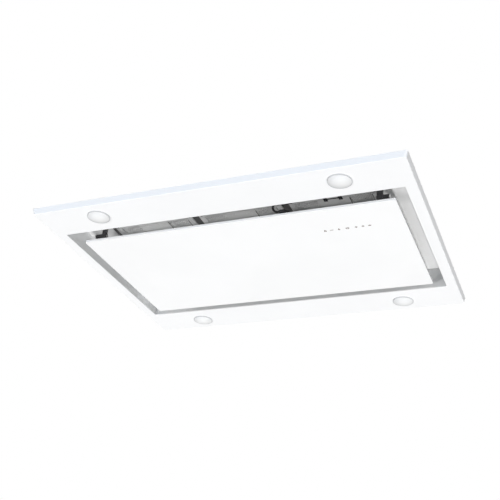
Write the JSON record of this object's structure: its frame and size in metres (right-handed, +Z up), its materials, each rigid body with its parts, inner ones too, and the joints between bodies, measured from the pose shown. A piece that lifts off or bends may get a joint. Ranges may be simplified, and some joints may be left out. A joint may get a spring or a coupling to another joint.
{
  "type": "ceiling range hood",
  "caption": "Flat ceiling-mounted range hood: white frame with corner lights, swing-down glass panel over grease filters, and a blower housing with a side duct collar above the ceiling.",
  "frame": {"origin": "centre of the ceiling plane, on the frame's return flange", "axes": "+Z up into the ceiling, +X along the long side, -Y the side with the panel's hinges"},
  "size_m": [0.9, 0.7, 0.2875],
  "materials": {
    "white_paint": "satin powder coat",
    "white_glass": "white-backed toughened glass",
    "stainless": "brushed",
    "filter_mesh": "expanded mesh",
    "galvanised": "galvanised",
    "black_steel": "satin black",
    "bright_steel": "bright",
    "black_plastic": "matt",
    "lead_jacket": "soft sheath",
    "bush_rubber": "matt",
    "motor_metal": "cast",
    "damper_metal": "mill finish",
    "circuit_board": "solder resist",
    "spot_metal": "satin",
    "spot_lens": "frosted",
    "spot_heatsink": "anodised"
  },
  "bodies": {
    "casing": {"blower_hangers": "galvanised", "blower_scroll": "galvanised", "cable_gland": "black_plastic", "catch_bodies": "black_plastic", "ceiling_frame": "white_paint", "control_board": "circuit_board", "control_lead": "lead_jacket", "control_socket": "black_plastic", "damper_pin": "bright_steel", "electronics_box": "galvanised", "electronics_lid": "galvanised", "filter_keepers": "galvanised", "filter_plate": "stainless", "filter_rails": "black_steel", "hinge_bracket_left": "black_steel", "hinge_bracket_right": "black_steel", "hinge_pins": "bright_steel", "housing_front_panel": "galvanised", "housing_left_panel": "galvanised", "housing_rear_panel": "galvanised", "housing_right_panel": "galvanised", "inlet_ring": "galvanised", "liner": "stainless", "motor_body": "motor_metal", "motor_bushes": "bush_rubber", "outlet_collar": "galvanised", "spot_bezel_1": "spot_metal", "spot_bezel_2": "spot_metal", "spot_bezel_3": "spot_metal", "spot_bezel_4": "spot_metal", "spot_body_1": "spot_heatsink", "spot_body_2": "spot_heatsink", "spot_body_3": "spot_heatsink", "spot_body_4": "spot_heatsink", "spot_clips": "bright_steel", "spot_lens_1": "spot_lens", "spot_lens_2": "spot_lens", "spot_lens_3": "spot_lens", "spot_lens_4": "spot_lens", "suspension_brackets": "galvanised", "top_cover": "galvanised"},
    "panel": {"panel_glass": "white_glass", "panel_pan": "galvanised", "hinge_leaf_left": "black_steel", "hinge_leaf_right": "black_steel", "catch_strikers": "galvanised", "touch_board": "circuit_board", "touch_cover": "black_plastic", "panel_lead": "lead_jacket", "lead_clip": "black_plastic"},
    "filter_1": {"filter_frame_1": "stainless", "filter_mesh_1": "filter_mesh"},
    "filter_2": {"filter_frame_2": "stainless", "filter_mesh_2": "filter_mesh"},
    "filter_3": {"filter_frame_3": "stainless", "filter_mesh_3": "filter_mesh"},
    "rotor": {"impeller": "black_plastic", "motor_shaft": "bright_steel"},
    "flap_left": {"damper_flap_left": "damper_metal"},
    "flap_right": {"damper_flap_right": "damper_metal"}
  },
  "joints": [
    {"name": "panel_swing", "type": "hinge", "parent": "casing", "child": "panel", "pos_m": [0, -0.181, 0.006], "axis": [-1, 0, 0], "range_deg": [0, 90]},
    {"name": "filter_tilt_1", "type": "hinge", "parent": "casing", "child": "filter_1", "pos_m": [-0.232, 0.1665, 0.0435], "axis": [1, 0, 0], "range_deg": [0, 5]},
    {"name": "filter_tilt_2", "type": "hinge", "parent": "casing", "child": "filter_2", "pos_m": [0, 0.1665, 0.0435], "axis": [1, 0, 0], "range_deg": [0, 5]},
    {"name": "filter_tilt_3", "type": "hinge", "parent": "casing", "child": "filter_3", "pos_m": [0.232, 0.1665, 0.0435], "axis": [1, 0, 0], "range_deg": [0, 5]},
    {"name": "impeller_spin", "type": "hinge", "parent": "casing", "child": "rotor", "pos_m": [-0.075, -0.03, 0.157], "axis": [0, 0, 1], "continuous": true},
    {"name": "flap_left_swing", "type": "hinge", "parent": "casing", "child": "flap_left", "pos_m": [0, 0.2593, 0.157], "axis": [0, 0, -1], "range_deg": [0, 75], "stiffness_Nm_per_rad": 0.02},
    {"name": "flap_right_swing", "type": "hinge", "parent": "casing", "child": "flap_right", "pos_m": [0, 0.2593, 0.157], "axis": [0, 0, 1], "range_deg": [0, 75], "stiffness_Nm_per_rad": 0.02}
  ]
}
